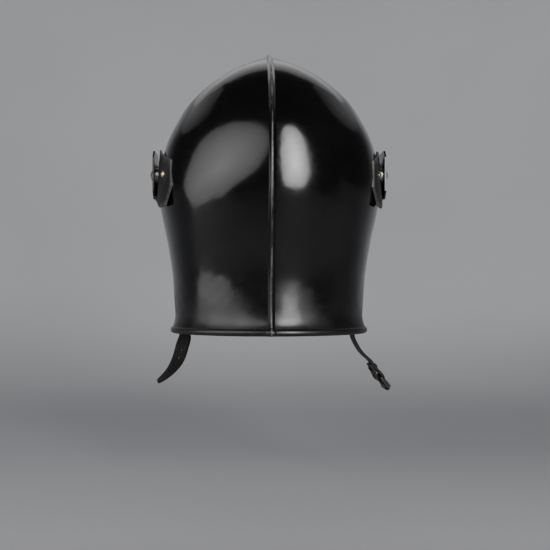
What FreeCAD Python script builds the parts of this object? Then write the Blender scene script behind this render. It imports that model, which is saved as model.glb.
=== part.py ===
# Visored knight's helmet: a two-piece welded steel skull with a medial keel and a rolled
# neck rim, a riveted face border, a visor on two temple pivots, a leather liner and a chin strap in two ends.
# Frame: millimetres, +Z up, the face looks along -Y, +X is the wearer's left.
# Origin: centre of the neck opening, in the plane of the rolled rim's lowest line.
import FreeCAD, Part
import math
import os

V = FreeCAD.Vector

# ------------------------------------------------------------------ driving dimensions
SHEET = 1.6                 # skull sheet thickness
KEEL_H, KEEL_W = 2.4, 8.0   # sharp medial keel: height and half width
CREST_H, CREST_W = 1.5, 34.0  # broad medial crest under the keel
SKULL_FOOT = 5.6            # height of the skull sheet's lower edge, inside the rolled rim
# constant-height stations of the skull: z, half width, back y, front y, y of the widest point
STATIONS = [
    (5.6, 94.6, 102.0, -92.0, 8.0), (9.0, 93.2, 100.0, -90.5, 8.0), (14.5, 91.9, 98.6, -90.0, 8.0),
    (26.0, 92.2, 98.5, -92.0, 8.0), (38.0, 92.95, 99.5, -94.5, 8.3), (55.0, 94.1, 102.2, -99.0, 9.0),
    (72.0, 96.35, 107.0, -105.0, 10.3), (90.0, 99.2, 113.6, -111.0, 12.2), (107.0, 102.6, 119.8, -116.0, 14.5),
    (119.0, 104.75, 123.8, -119.0, 16.2), (133.0, 106.15, 126.9, -121.0, 17.6), (155.0, 104.5, 127.6, -122.0, 18.4),
    (181.0, 98.1, 123.2, -120.0, 18.4), (198.0, 89.9, 115.6, -115.0, 18.0), (216.0, 78.9, 103.6, -105.5, 17.0),
    (227.0, 68.8, 92.6, -96.0, 16.0), (239.0, 55.3, 76.8, -81.5, 14.8), (250.5, 39.8, 56.5, -60.5, 13.6),
    (258.0, 27.7, 40.0, -40.5, 12.8), (264.0, 16.2, 26.0, -22.5, 12.2), (267.8, 7.0, 17.0, -4.0, 12.0),
    (269.4, 0.0, 12.0, 12.0, 12.0)]
SQUARE_B, SQUARE_F = -0.02, 0.02   # how much fuller than an ellipse each half section is

# face opening: a round-headed arch
OPEN_HALF, OPEN_SPRING, OPEN_TOP, OPEN_FOOT_HALF = 67.0, 96.0, 163.0, 60.0
BORDER_W, BORDER_T = 13.0, 1.3

# rolled neck rim
ROLL_R, ROLL_BORE, ROLL_WIRE, ROLL_Z = 3.2, 1.6, 1.5, 3.3

# temple pivots
PIV_Y, PIV_Z = 28.0, 151.0
BOLT_R, BOLT_HEAD_R, BOLT_HEAD_H = 3.0, 6.4, 3.4
RUN = 0.05                  # radial running clearance
PLATE_T, PLATE_GAP, PLATE_LEAN = 1.8, 0.25, 0.07
PLATE_OUTLINE = [(14, 168), (32, 175), (76, 157), (80, 133), (71, 116.5), (58, 116.5), (34, 128), (14, 138)]
PLATE_SHIFT = {"left": 0.0, "right": -6.0}
ARM_IN, ARM_T = 108.9, 1.6
ARM_OUTLINE = [(39.5, 135), (39.5, 167), (33, 174), (12, 174.5), (-8, 166), (-46, 161), (-52, 155),
               (-52, 147), (-46, 141), (-8, 138), (8, 128.5), (33, 128)]

# visor
VIS_X, VIS_M, VIS_FLAT, VIS_T = 108.85, 2.2, 26.0, 1.5
VIS_KEEL_H, VIS_KEEL_W, VIS_CREST_H, VIS_CREST_W = 2.6, 8.0, 3.0, 42.0
VIS_R = [(-66, 168), (-56, 177), (-46, 187.5), (-36, 195.5), (-27, 199.5), (-19, 199), (-12, 194), (-6, 186),
         (0, 176), (5, 167), (9, 161.5), (13, 159.5), (20, 159.5)]
VIS_SIDE_R = 44.0
VIS_OUTLINE = [(0, 172), (-30, 179.5), (-70, 182), (-160, 187), (-230, 190), (-230, 18), (-112, 24), (-92, 33),
               (-70, 54), (-46, 84), (-20, 112), (0, 124)]

# straps
STRAP_PIVOT = (30.0, 27.0)   # y, z of the strap rivets
STRAP_W, STRAP_T = 20.0, 2.3

os.makedirs("parts", exist_ok=True)


# ------------------------------------------------------------------ small maths helpers
def natural(xs, ys):
    """Natural cubic spline through (xs, ys), as a function."""
    n = len(xs)
    h = [xs[i + 1] - xs[i] for i in range(n - 1)]
    a, b, c, d = [0.0] * n, [1.0] * n, [0.0] * n, [0.0] * n
    for i in range(1, n - 1):
        a[i], b[i], c[i] = h[i - 1], 2 * (h[i - 1] + h[i]), h[i]
        d[i] = 6 * ((ys[i + 1] - ys[i]) / h[i] - (ys[i] - ys[i - 1]) / h[i - 1])
    for i in range(1, n):
        w = a[i] / b[i - 1]
        b[i] -= w * c[i - 1]
        d[i] -= w * d[i - 1]
    m = [0.0] * n
    m[-1] = d[-1] / b[-1]
    for i in range(n - 2, -1, -1):
        m[i] = (d[i] - c[i] * m[i + 1]) / b[i]

    def f(x):
        k = 0
        while k < n - 2 and x > xs[k + 1]:
            k += 1
        t = x - xs[k]
        return (ys[k] + t * ((ys[k + 1] - ys[k]) / h[k] - h[k] * (2 * m[k] + m[k + 1]) / 6)
                + t * t * m[k] / 2 + t ** 3 * (m[k + 1] - m[k]) / (6 * h[k]))
    return f


def chord(rows):
    n = len(rows[0])
    acc, count = [0.0] * n, 0
    for r in rows:
        d = [0.0]
        for k in range(1, n):
            d.append(d[-1] + (r[k] - r[k - 1]).Length)
        if d[-1] < 1e-6:
            continue
        acc = [p + q / d[-1] for p, q in zip(acc, d)]
        count += 1
    return [p / count for p in acc]


def through(points, params):
    c = Part.BSplineCurve()
    c.interpolate(Points=points, Parameters=params)
    return c


def surface(grid):
    """A B-spline surface through a grid of points; a row or column that is one point stays one point."""
    nu, nv = len(grid), len(grid[0])
    pu = chord([[grid[i][j] for i in range(nu)] for j in range(nv)])
    pv = chord(grid)
    rows, cu = [], None
    for j in range(nv):
        pts = [grid[i][j] for i in range(nu)]
        if max((p - pts[0]).Length for p in pts) < 1e-6:
            rows.append(None if cu is None else [pts[0]] * len(rows[0]))
        else:
            cu = through(pts, pu)
            rows.append(cu.getPoles())
    poles, cv = [], None
    for k in range(len(rows[0])):
        cv = through([rows[j][k] for j in range(nv)], pv)
        poles.append(cv.getPoles())
    s = Part.BSplineSurface()
    s.buildFromPolesMultsKnots(poles, cu.getMultiplicities(), cv.getMultiplicities(), cu.getKnots(), cv.getKnots(),
                               False, False, cu.Degree, cv.Degree)
    return s


def edges_of(s, pole):
    u0, u1, v0, v1 = s.bounds()
    out = [s.uIso(u0).toShape(), s.uIso(u1).toShape(), s.vIso(v0).toShape()]
    if not pole:
        out.append(s.vIso(v1).toShape())
    return out


def closed_solid(faces, tol=1e-4):
    comp = Part.makeCompound(faces)
    comp.sewShape(tol)
    sol = Part.Solid(comp.Shells[0])
    sol.fix(1e-3, 1e-4, 1e-2)
    if sol.Volume < 0:
        sol.reverse()
    return sol


def sheet_solid(outer, inner, pole=False):
    """A closed solid between two grids of points, with ruled edges. pole: the last column is one point."""
    so, si = surface(outer), surface(inner)
    faces = [so.toShape(), si.toShape()]
    for a, b in zip(edges_of(so, pole), edges_of(si, pole)):
        faces.append(Part.makeRuledSurface(a, b))
    return closed_solid(faces)


def prism(points, axis, lo, hi):
    """A straight prism: points are the two other coordinates in X, Y, Z order."""
    def p3(p):
        return {"X": V(lo, p[0], p[1]), "Y": V(p[0], lo, p[1]), "Z": V(p[0], p[1], lo)}[axis]
    w = Part.makePolygon([p3(p) for p in points] + [p3(points[0])])
    d = {"X": V(hi - lo, 0, 0), "Y": V(0, hi - lo, 0), "Z": V(0, 0, hi - lo)}[axis]
    return Part.Face(w).extrude(d)


def smooth_prism(left_points, axis, lo, hi, close_points):
    """A prism whose outline is one smooth curve through left_points, closed by straight lines through close_points."""
    def p3(p):
        return {"X": V(lo, p[0], p[1]), "Y": V(p[0], lo, p[1]), "Z": V(p[0], p[1], lo)}[axis]
    c = Part.BSplineCurve()
    c.interpolate([p3(p) for p in left_points])
    pts = [p3(left_points[-1])] + [p3(p) for p in close_points] + [p3(left_points[0])]
    w = Part.Wire([c.toShape()] + [Part.makeLine(pts[i], pts[i + 1]) for i in range(len(pts) - 1)])
    d = {"X": V(hi - lo, 0, 0), "Y": V(0, hi - lo, 0), "Z": V(0, 0, hi - lo)}[axis]
    return Part.Face(w).extrude(d)


def turned(profile, at, axis):
    """A solid of revolution: profile is (radius, height) points, closed on the axis, heights along axis from at."""
    pts = [V(r, 0, h) for r, h in profile]
    w = Part.makePolygon(pts + [pts[0]])
    s = Part.Face(w).revolve(V(0, 0, 0), V(0, 0, 1), 360)
    s.Placement = FreeCAD.Placement(at, FreeCAD.Rotation(V(0, 0, 1), axis))
    if s.Volume < 0:
        s.reverse()
    return s


def dome(r, h, z0, n=7):
    """Profile points of a spherical dome of base radius r and height h standing on z0, rim first."""
    rs = (r * r + h * h) / (2 * h)
    a0 = math.asin(min(1.0, r / rs))
    if h > r:
        a0 = math.pi - a0
    return [(rs * math.sin(a0 * (1 - k / n)), z0 + h - rs + rs * math.cos(a0 * (1 - k / n))) for k in range(n + 1)]


def rivet(at, axis, inside, outside, r, head_r, head_h, tail_r=0, tail_h=0):
    """Dome-headed rivet: shank from -inside to outside along axis, head beyond outside, flat tail beyond -inside."""
    p = []
    if tail_r:
        p += [(0, -inside - tail_h), (tail_r * 0.75, -inside - tail_h), (tail_r, -inside - tail_h * 0.5), (tail_r, -inside)]
    else:
        p += [(0, -inside)]
    p += [(r, -inside), (r, outside)] + dome(head_r, head_h, outside)
    return turned(p, at, axis)


def rod(at, axis, lo, hi, r):
    return Part.makeCylinder(r, hi - lo, at + axis * lo, axis)


def tube(at, axis, lo, hi, r, bore):
    return rod(at, axis, lo, hi, r).cut(rod(at, axis, lo - 1, hi + 1, bore))


def mirror_x(s):
    return s.mirror(V(0, 0, 0), V(1, 0, 0))


made = {}


def save(name, shape):
    solids = shape.Solids
    vol = sum(s.Volume for s in solids)
    b = shape.BoundBox
    print(name, "solids", len(solids), "valid", shape.isValid(), "cm3", round(vol / 1000, 2),
          [round(x, 1) for x in (b.XMin, b.XMax, b.YMin, b.YMax, b.ZMin, b.ZMax)])
    made[name] = shape
    out = solids[0] if len(solids) == 1 else Part.makeCompound(solids)
    out.exportStep("parts/" + name + ".step")


# ------------------------------------------------------------------ the skull's surface
_v = [0.0]
for _i in range(1, len(STATIONS)):
    _p, _q = STATIONS[_i - 1], STATIONS[_i]
    _v.append(_v[-1] + math.hypot(_q[0] - _p[0], _q[1] - _p[1]))
_v = [x / _v[-1] for x in _v]
S_Z, S_A, S_B, S_F, S_C = [natural(_v, [s[k] for s in STATIONS]) for k in range(5)]


def base(v, t):
    """Smooth surface under the keel: v 0 at the rim to 1 at the apex, t 0 at the back to pi at the front (x >= 0)."""
    a, b, f, c = S_A(v), S_B(v), S_F(v), S_C(v)
    st, ct = math.sin(t), math.cos(t)
    if ct >= 0:
        y = c + (b - c) * ct * (1 + SQUARE_B * st * st)
    else:
        y = c + (c - f) * ct * (1 + SQUARE_F * st * st)
    return V(a * st, y, S_Z(v))


def normal(v, t):
    if v > 0.9995:
        return V(0, 0, 1)
    e = 1e-4
    v0, v1 = max(0.0, v - e), min(0.9998, v + e)
    dv = base(v1, t) - base(v0, t)
    dt = base(v, t + e) - base(v, t - e)
    n = dt.cross(dv)
    n.normalize()
    p = base(v, t)
    if n.dot(V(p.x, p.y - S_C(v), 0.3 * (p.z - 100))) < 0:
        n = n * -1
    if abs(math.sin(t)) < 1e-9:
        n = V(0, n.y, n.z)
        n.normalize()
    return n


def bump(x, keel=1.0, crest=1.0):
    x = abs(x)
    return (keel * KEEL_H * max(0.0, 1 - x / KEEL_W) ** 2 + crest * CREST_H * max(0.0, 1 - x / CREST_W) ** 2)


def skin(v, t, off, keel=1.0, crest=1.0):
    """A point off the skull's surface: off is measured along the normal from the smooth surface plus its keel."""
    p = base(v, t)
    return p + normal(v, t) * (off + bump(p.x, keel, crest))


def v_of_z(z):
    lo, hi = 0.0, 1.0
    for _ in range(50):
        m = (lo + hi) / 2
        if S_Z(m) < z:
            lo = m
        else:
            hi = m
    return (lo + hi) / 2


def t_of_y(v, y):
    lo, hi = 0.0, math.pi
    for _ in range(50):
        m = (lo + hi) / 2
        if base(v, m).y > y:
            lo = m
        else:
            hi = m
    return (lo + hi) / 2


def side_x(y, z, off=0.0):
    """x of the skull's outer side at y and z, off mm further out."""
    v = v_of_z(z)
    t = t_of_y(v, y)
    return (base(v, t) + normal(v, t) * off).x


def front_point(x, z):
    """(v, t) of the skull's front surface at x and z."""
    v = v_of_z(z)
    return v, math.pi - math.asin(min(1.0, x / S_A(v)))


T_COLS = [0, .011, .024, .039, .057, .08, .11, .15, .21, .29, .4, .54, .7, .88, 1.06, 1.24, 1.42]
T_COLS = T_COLS + [math.pi / 2] + [math.pi - t for t in reversed(T_COLS)]
T_COLS[-1] = math.pi
V_ROWS = [k / 33.0 for k in range(34)]
V_ROWS = V_ROWS[:-1] + [0.985, 0.993, 1.0]


def skull_grid(off, keel, crest, ts=T_COLS, vs=V_ROWS):
    g = []
    for t in ts:
        col = []
        for v in vs:
            p = skin(v, t, off, keel, crest)
            if t in (0, math.pi) or v == 1.0:
                p = V(0, p.y, p.z)
            col.append(p)
        g.append(col)
    return g


def arch(grow):
    """Half outline of the face opening grown by grow, from the foot up to the top, as (x, z)."""
    pts = [(OPEN_FOOT_HALF + grow, -12.0), (OPEN_FOOT_HALF + 2.6 + grow, 20.0), (OPEN_HALF - 1.3 + grow, 60.0)]
    n = 14
    for k in range(n + 1):
        a = math.pi / 2 * k / n
        pts.append(((OPEN_HALF + grow) * math.cos(a) ** 0.86, OPEN_SPRING + (OPEN_TOP - OPEN_SPRING + grow) * math.sin(a) ** 0.9))
    pts[-1] = (0.0, pts[-1][1])
    return pts


def arch_prism(grow, y0, y1):
    half = arch(grow)
    full = [(-x, z) for x, z in half[:-1]] + [(x, z) for x, z in reversed(half)]
    return smooth_prism(full, "Y", y0, y1, [])


opening = arch_prism(0.0, -220.0, -14.0)
half = sheet_solid(skull_grid(0.0, 1.0, 1.0), skull_grid(-SHEET, 0.7, 1.0), pole=True)
print("half skull", half.isValid(), half.Volume)
half = half.cut(opening)
half = max(half.Solids, key=lambda s: s.Volume)
print("half skull cut", half.isValid(), half.Volume)

# ------------------------------------------------------------------ face border
BORDER_TS = [1.85 + (math.pi - 1.85) * k / 16.0 for k in range(13)] + [math.pi - x for x in (.4, .29, .21, .15, .11, .08, .057, .039, .024, .011, 0)]
BORDER_TS = sorted(set(round(t, 6) for t in BORDER_TS if t <= math.pi - .41) | {math.pi - x for x in (.4, .29, .21, .15, .11, .08, .057, .039, .024, .011)})
BORDER_TS = BORDER_TS + [math.pi]
b_lo, b_hi = v_of_z(8.2), v_of_z(190.0)
B_ROWS = [b_lo + (b_hi - b_lo) * k / 20.0 for k in range(21)]
layer = sheet_solid(skull_grid(0.05 + BORDER_T, 1.0, 1.0, BORDER_TS, B_ROWS), skull_grid(0.05, 1.0, 1.0, BORDER_TS, B_ROWS))
border = layer.common(arch_prism(BORDER_W, -220.0, -14.0)).cut(arch_prism(0.6, -221.0, -13.0))
border = max(border.Solids, key=lambda s: s.Volume)
print("half border", border.isValid(), border.Volume)
border_line = arch(BORDER_W / 2 + 0.6)
# border rivets, about 28 mm apart along the border's middle line
line = []
for i in range(len(border_line) - 1):
    (x0, z0), (x1, z1) = border_line[i], border_line[i + 1]
    for k in range(20):
        f = k / 20.0
        line.append((x0 + (x1 - x0) * f, z0 + (z1 - z0) * f))
line = [p for p in line if p[1] > 17.0] + [border_line[-1]]
length = [0.0]
for i in range(1, len(line)):
    length.append(length[-1] + math.hypot(line[i][0] - line[i - 1][0], line[i][1] - line[i - 1][1]))
PER_SIDE = 8
rivets, holes = [], []
for k in range(PER_SIDE):
    want = 3.0 + (length[-1] - 18.0) * k / (PER_SIDE - 1)
    i = min(range(len(length)), key=lambda j: abs(length[j] - want))
    v, t = front_point(*line[i])
    p, n = base(v, t) + normal(v, t) * bump(base(v, t).x), normal(v, t)
    rivets.append(rivet(p, n, SHEET + 0.12, BORDER_T + 0.16, 1.6, 3.6, 2.0, 2.7, 1.0))
    holes.append(rod(p, n, -6.0, 6.0, 1.6 + RUN))
border = border.cut(Part.makeCompound(holes))
half = half.cut(Part.makeCompound(holes))

# ------------------------------------------------------------------ temple pivots and plates
bolt_axis = V(1, 0, 0)
bolt_at = V(0, PIV_Y, PIV_Z)
half = half.cut(rod(bolt_at, bolt_axis, 60, 140, BOLT_R + RUN))


def plate(side):
    """A bent hexagonal plate on the temple: vertical sheet following the skull's plan at its widest height, leaning with it."""
    sh = PLATE_SHIFT[side]
    ys = [0.0 + k * 6.0 for k in range(16)]
    zs = 133.0
    inner = [V(side_x(y, zs, PLATE_GAP), y, 0) for y in ys]
    outer = []
    for k, p in enumerate(inner):
        q0, q1 = inner[max(0, k - 1)], inner[min(len(inner) - 1, k + 1)]
        d = q1 - q0
        n = V(d.y, -d.x, 0)
        n.normalize()
        outer.append(p + n * PLATE_T)
    drop = 40.0
    inner = [p + V(PLATE_LEAN * (drop - 0.0), 0, zs - drop) for p in inner]
    outer = [p + V(PLATE_LEAN * (drop - 0.0), 0, zs - drop) for p in outer]
    ci, co = Part.BSplineCurve(), Part.BSplineCurve()
    ci.interpolate(inner)
    co.interpolate(outer)
    w = Part.Wire(Part.__sortEdges__([ci.toShape(), co.toShape(), Part.makeLine(inner[0], outer[0]), Part.makeLine(inner[-1], outer[-1])]))
    sheet = Part.Face(w).extrude(V(-PLATE_LEAN * 100, 0, 100))
    s = sheet.common(prism([(y + sh, z) for y, z in PLATE_OUTLINE], "X", 40, 140))
    return max(s.Solids, key=lambda q: q.Volume)


plates, plate_rivets = {}, []
for side in ("left", "right"):
    s = plate(side)
    sh = PLATE_SHIFT[side]
    hs = [rod(bolt_at, bolt_axis, 60, 140, BOLT_R + RUN)]
    rv = []
    for y, z in ((66 + sh, 145.5),):
        x = side_x(y, z, 0)
        v = v_of_z(z)
        n = normal(v, t_of_y(v, y))
        p = V(x, y, z)
        rv.append((p, n))
        hs.append(rod(p, n, -6, 8, 1.5 + RUN))
    s = s.cut(Part.makeCompound(hs))
    plates[side] = (s, rv)

# the spacer stands between each plate and its arm; the washer and nut are inside the skull
in_x = min(side_x(PIV_Y + dy, PIV_Z + dz, -SHEET) for dy in (-7, 0, 7) for dz in (-7, 0, 7)) - 0.1
spacer_raw = tube(bolt_at, bolt_axis, 105.0, ARM_IN - 0.06, 7.0, BOLT_R + RUN)
washer = tube(bolt_at, bolt_axis, in_x - 1.2, in_x, 7.2, BOLT_R + RUN)
hexagon = [(PIV_Y + 5.6 * math.cos(math.pi / 3 * k), PIV_Z + 5.6 * math.sin(math.pi / 3 * k)) for k in range(6)]
nut = prism(hexagon, "X", in_x - 5.4, in_x - 1.25).cut(rod(bolt_at, bolt_axis, 60, 140, BOLT_R + 0.02))
bolt = turned([(0, in_x - 6.4), (BOLT_R, in_x - 6.4), (BOLT_R, ARM_IN + ARM_T + 0.06)]
              + dome(BOLT_HEAD_R, BOLT_HEAD_H, ARM_IN + ARM_T + 0.06, 9), bolt_at, bolt_axis)

# ------------------------------------------------------------------ visor
vis_R = natural([p[0] for p in VIS_R], [p[1] for p in VIS_R])


def visor_point(th, phi, off):
    """th degrees above the forward horizontal about the pivots, phi 0 on the medial line to pi/2 at the pivot."""
    R = vis_R(th)
    x = VIS_X * math.sin(phi) ** (2 / VIS_M)
    r = VIS_FLAT + (R - VIS_FLAT) * math.cos(phi) ** (2 / VIS_M)
    a = math.radians(th)
    return V(x, PIV_Y - r * math.cos(a), PIV_Z + r * math.sin(a))


def visor_normal(th, phi):
    e = 1e-3
    p0 = max(phi - e, 0.004)
    dp = visor_point(th, p0 + 2 * e, 0) - visor_point(th, p0, 0)
    dt = visor_point(th + 0.1, max(phi, 0.004), 0) - visor_point(th - 0.1, max(phi, 0.004), 0)
    n = dt.cross(dp)
    n.normalize()
    if n.dot(visor_point(th, phi, 0) - V(0, 0, 100)) < 0:
        n = n * -1
    if phi == 0:
        n = V(0, n.y, n.z)
        n.normalize()
    return n


def visor_skin(th, phi, off):
    p = visor_point(th, phi, 0)
    b = (VIS_KEEL_H * max(0.0, 1 - p.x / VIS_KEEL_W) ** 2 + VIS_CREST_H * max(0.0, 1 - p.x / VIS_CREST_W) ** 2)
    q = p + visor_normal(th, phi) * (off + b)
    return V(0, q.y, q.z) if phi == 0 else q


PHI_END = 1.37
PHIS = [0, .006, .014, .024, .036, .05, .068, .095, .13, .18, .25, .34, .45, .58, .72, .86, 1.0, 1.12, 1.22, 1.3, PHI_END]
THS = [-66 + 84.0 * k / 28 for k in range(29)]
vg_out = [[visor_skin(th, ph, 0.0) for th in THS] for ph in PHIS]
vg_in = [[visor_skin(th, ph, -VIS_T) for th in THS] for ph in PHIS]
vhalf = sheet_solid(vg_out, vg_in)
print("visor half", vhalf.isValid(), vhalf.Volume)
vhalf = vhalf.common(prism(VIS_OUTLINE, "X", -5, 140))
vhalf = vhalf.cut(rod(bolt_at, bolt_axis, 60, 140, VIS_SIDE_R))
vhalf = max(vhalf.Solids, key=lambda s: s.Volume)


def visor_x(y, z):
    """x of the visor's outer side at y and z."""
    r = math.hypot(PIV_Y - y, z - PIV_Z)
    if r <= VIS_FLAT or y > PIV_Y:
        return VIS_X
    R = vis_R(max(-66, min(20, math.degrees(math.atan2(z - PIV_Z, PIV_Y - y)))))
    return VIS_X * (1 - ((r - VIS_FLAT) / (R - VIS_FLAT)) ** VIS_M) ** (1 / VIS_M)


# sight slot: a round-ended slot; breaths: a diamond of round holes
slot = prism([(16, 136.6), (60, 136.6), (60, 145.4), (16, 145.4)], "Y", -220, -70)
slot = slot.fuse([Part.makeCylinder(4.4, 150, V(16, -220, 141.0), V(0, 1, 0)), Part.makeCylinder(4.4, 150, V(60, -220, 141.0), V(0, 1, 0))])
breaths = []
for row, (z, xs) in enumerate([(112, (33, 45)), (100, (27, 39, 51)), (88, (21, 33, 45, 57)), (76, (27, 39, 51)), (64, (33, 45))]):
    for x in xs:
        breaths.append(Part.makeCylinder(2.5, 150, V(x, -220, z), V(0, 1, 0)))
vhalf = vhalf.cut(slot).cut(Part.makeCompound(breaths))

# arm: a bent strip on the outside of the visor's side, with a clipped ear round the pivot
ays = [44.0 - 4.0 * k for k in range(26)]
arm_in = []
for y in ays:
    arm_in.append(V(max([visor_x(y, z) for z in range(138, 168, 3)]) + (ARM_IN - VIS_X), y, 120))
arm_out = []
for k, p in enumerate(arm_in):
    q0, q1 = arm_in[max(0, k - 1)], arm_in[min(len(arm_in) - 1, k + 1)]
    d = q0 - q1
    n = V(d.y, -d.x, 0)
    n.normalize()
    arm_out.append(p + n * ARM_T)
ci, co = Part.BSplineCurve(), Part.BSplineCurve()
ci.interpolate(arm_in)
co.interpolate(arm_out)
arm = Part.Face(Part.Wire(Part.__sortEdges__([ci.toShape(), co.toShape(), Part.makeLine(arm_in[0], arm_out[0]),
                                              Part.makeLine(arm_in[-1], arm_out[-1])]))).extrude(V(0, 0, 60))
arm = arm.common(prism(ARM_OUTLINE, "X", 60, 140))
arm = arm.cut(rod(bolt_at, bolt_axis, 60, 140, BOLT_R + RUN))
arm_rivets, arm_holes = [], []
for y, z in ((-24, 156), (-24, 146), (-43, 151)):
    p = V(visor_x(y, z), y, z)
    d = V(visor_x(y - 2, z), y - 2, z) - V(visor_x(y + 2, z), y + 2, z)
    n = V(-d.y, d.x, 0)
    n.normalize()
    if n.x < 0:
        n = n * -1
    arm_rivets.append(rivet(p, n, VIS_T + 0.2, ARM_T + 1.0, 1.6, 3.4, 1.9, 2.6, 0.9))
    arm_holes.append(rod(p, n, -5, 8, 1.6 + RUN))
arm = max(arm.cut(Part.makeCompound(arm_holes)).Solids, key=lambda s: s.Volume)
vhalf = vhalf.cut(Part.makeCompound(arm_holes))
vhalf = max(vhalf.Solids, key=lambda s: s.Volume)

# lifting peg on the wearer's right of the visor, low on the cheek
kp = visor_skin(-33, 0.62, 0)
kn = visor_normal(-33, 0.62)
peg_hole = rod(kp, kn, -6, 6, 2.2 + RUN)
peg = turned([(0, -VIS_T - 1.2), (3.4, -VIS_T - 1.2), (3.4, -VIS_T - 0.15), (2.2, -VIS_T - 0.15), (2.2, 0.15), (4.4, 0.15), (4.4, 1.2), (2.3, 2.2),
              (2.1, 6.0)] + dome(4.4, 6.9, 7.0, 10), kp, kn)
visor = vhalf.cut(peg_hole).mirror(V(0, 0, 0), V(1, 0, 0)).fuse(vhalf)
visor = visor.removeSplitter() if len(visor.Solids) == 1 else visor
peg = mirror_x(peg)

save("visor_plate", visor)
save("visor_arm_left", arm)
save("visor_arm_right", mirror_x(arm))
save("visor_arm_rivets", Part.makeCompound(arm_rivets + [mirror_x(r) for r in arm_rivets]))
save("lifting_peg", peg)
for side in ("left", "right"):
    fix = (lambda s: s) if side == "left" else mirror_x
    s, rv = plates[side]
    sp = spacer_raw.cut(s)
    sp = max(sp.Solids, key=lambda q: q.BoundBox.XMax)
    save("pivot_plate_" + side, fix(s))
    save("pivot_spacer_" + side, fix(sp))
    save("pivot_bolt_" + side, fix(bolt))
    save("pivot_washer_" + side, fix(washer))
    save("pivot_nut_" + side, fix(nut))
    for p, n in rv:
        plate_rivets.append(fix(rivet(p, n, SHEET + 0.1, PLATE_GAP + PLATE_T + 0.9, 1.5, 3.2, 1.7, 2.5, 0.9)))
save("pivot_plate_rivets", Part.makeCompound(plate_rivets))

for side in ("left", "right"):
    h = half.cut(Part.makeCompound([rod(p, n, -6, 8, 1.5 + RUN) for p, n in plates[side][1]]))
    h = max(h.Solids, key=lambda s: s.Volume)
    save("skull_" + side, h if side == "left" else mirror_x(h))
bb = border.fuse(mirror_x(border))
save("face_border", bb)
save("face_border_rivets", Part.makeCompound(rivets + [mirror_x(r) for r in rivets]))

# ------------------------------------------------------------------ rolled neck rim over a wire
t_end = math.pi - math.asin((OPEN_FOOT_HALF + 1.4) / S_A(0.0))
pts = []
for k in range(33):
    f = k / 32.0
    t = [0, .012, .026, .042, .062, .085][k] if k < 6 else .085 + (t_end - .085) * (k - 5) / 27.0
    p = base(0.0, t)
    n = normal(0.0, t)
    n = V(n.x, n.y, 0)
    n.normalize()
    q = p + n * (bump(p.x, 0.6) - 1.35)
    pts.append(V(0 if k == 0 else q.x, q.y, ROLL_Z))
lead_dir = pts[1] - pts[0]
lead_dir.normalize()
run_in = [pts[0] - lead_dir * 5.0, pts[0] - lead_dir * 2.5]
path = Part.BSplineCurve()
path.interpolate(run_in + pts)
wire = Part.Wire([path.toShape()])
start_dir = path.tangent(path.FirstParameter)[0]


def swept(r):
    c = Part.Wire(Part.Circle(run_in[0], start_dir, r).toShape())
    s = wire.makePipeShell([c], True, False, 0)
    s = Part.Solid(s) if s.ShapeType != "Solid" else s
    s = s.common(Part.makeBox(200, 400, 40, V(0, -200, -20)))
    return max(s.Solids, key=lambda q: q.Volume)


roll_outer, roll_inner, roll_wire = swept(ROLL_R), swept(ROLL_BORE), swept(ROLL_WIRE)
roll = roll_outer.cut(roll_inner)
print("roll", [(round(q.Volume), [round(x, 1) for x in (q.BoundBox.XMin, q.BoundBox.XMax, q.BoundBox.YMin, q.BoundBox.YMax)]) for q in roll.Solids],
      "path", [tuple(round(c, 2) for c in p) for p in pts[:6]], tuple(round(c, 3) for c in lead_dir))
save("neck_roll", roll.fuse(mirror_x(roll)))
save("neck_roll_wire", roll_wire.fuse(mirror_x(roll_wire)))

# ------------------------------------------------------------------ liner
def ring_grid(off, z0, z1, n=6, t0=0.0, t1=math.pi, nt=25, along=None):
    a, b = v_of_z(z0), v_of_z(z1)
    ts = [t0 + (t1 - t0) * k / (nt - 1) for k in range(nt)]
    return [[(lambda p: V(0, p.y, p.z) if (t in (0.0, math.pi)) else p)(skin(a + (b - a) * j / (n - 1), t, off, 0.0, 0.0)) for j in range(n)] for t in ts]


def ring(off_out, off_in, z0, z1):
    h = sheet_solid(ring_grid(off_out, z0, z1), ring_grid(off_in, z0, z1))
    r = h.fuse(mirror_x(h))
    return r


BAND_Z = (170.0, 194.0)
band = ring(-3.1, -4.9, *BAND_Z)
tongue_ring = ring(-5.0, -6.5, 174.0, 233.0)
# eight tongues: V-shaped gaps cut between them
gaps = []
for k in range(8):
    a = math.pi / 8 + k * math.pi / 4
    d = V(math.sin(a), math.cos(a), 0)
    s = V(d.y, -d.x, 0)
    c = V(0, 16, 0)
    tri = Part.makePolygon([c + d * 10 + V(0, 0, 192) + s * 0, c + d * 10 + s * 11 + V(0, 0, 245), c + d * 10 - s * 11 + V(0, 0, 245), c + d * 10 + V(0, 0, 192)])
    gaps.append(Part.Face(tri).extrude(d * 130))
tongues = tongue_ring.cut(Part.makeCompound(gaps))
lace_holes = []
for k in range(8):
    a = k * math.pi / 4
    d = V(math.sin(a), math.cos(a), 0)
    lace_holes.append(Part.makeCylinder(2.2, 130, V(0, 16, 222), (d + V(0, 0, 0.35)).normalize()))
tongues = tongues.cut(Part.makeCompound(lace_holes))
tongues = max(tongues.Solids, key=lambda q: q.Volume)
clips, liner_rivets, lr_holes = [], [], []
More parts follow.
